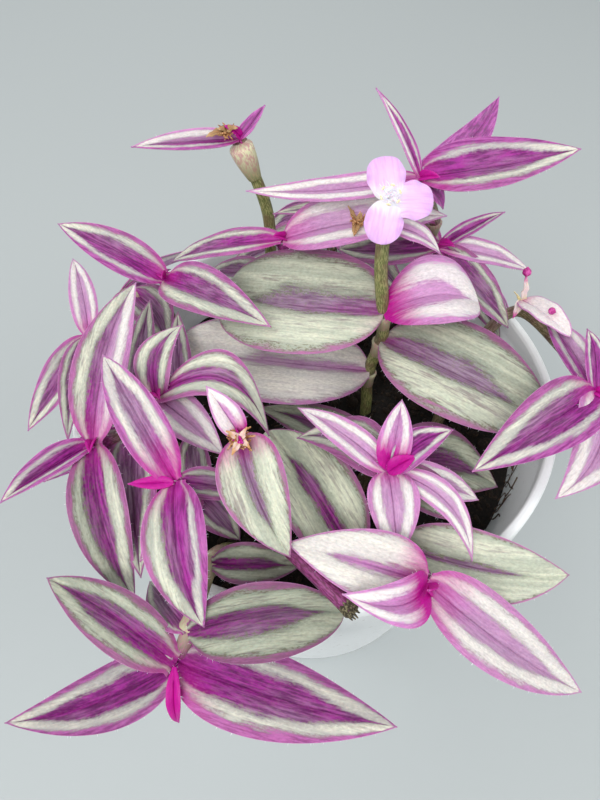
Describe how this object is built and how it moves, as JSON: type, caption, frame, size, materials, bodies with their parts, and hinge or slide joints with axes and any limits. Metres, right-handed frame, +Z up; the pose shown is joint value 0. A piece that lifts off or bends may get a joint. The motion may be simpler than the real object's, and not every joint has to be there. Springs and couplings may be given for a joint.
{
  "type": "potted tradescantia",
  "caption": "Trailing house plant with striped purple and silver leaves and a small open flower, growing in soil in a round tapered white pot.",
  "frame": {"origin": "middle of the pot's underside, on the surface the pot stands on", "axes": "+Z up; the plant's front, with its longest leaves, faces -Y; +X to the right of someone looking at the front"},
  "size_m": [0.149, 0.1805, 0.1506],
  "materials": {
    "pot": "moulded white polypropylene, satin",
    "soil": "crumbly dark potting mix",
    "foliage": "fleshy leaf, purple and silver stripes, satin",
    "petal": "thin pink petal, velvety",
    "stamen": "pale filament and anther",
    "spent": "dried sepal, papery"
  },
  "bodies": {
    "root": {"pot": "pot", "soil": "soil", "stem_back_left_bloom": "foliage", "stem_back_left_pair": "foliage", "stem_far_left": "foliage", "stem_left": "foliage", "stem_left_front": "foliage", "stem_middle_left": "foliage", "stem_middle_bloom": "foliage", "stem_back_middle": "foliage", "stem_centre_bloom": "foliage", "stem_back_right": "foliage", "stem_right_back_small": "foliage", "stem_right": "foliage", "stem_middle": "foliage", "stem_front_silver": "foliage", "stem_trimmed": "foliage", "stem_right_front": "foliage", "stem_front_left": "foliage", "stem_trailing_back": "foliage", "stem_trailing_back_right": "foliage", "stem_trailing_back_left": "foliage", "bloom_petals": "petal", "bloom_stamens": "stamen", "spent_bloom_middle": "spent", "spent_bloom_back_left": "spent", "spent_bloom_centre": "spent", "spent_bloom_right": "spent"}
  },
  "joints": []
}
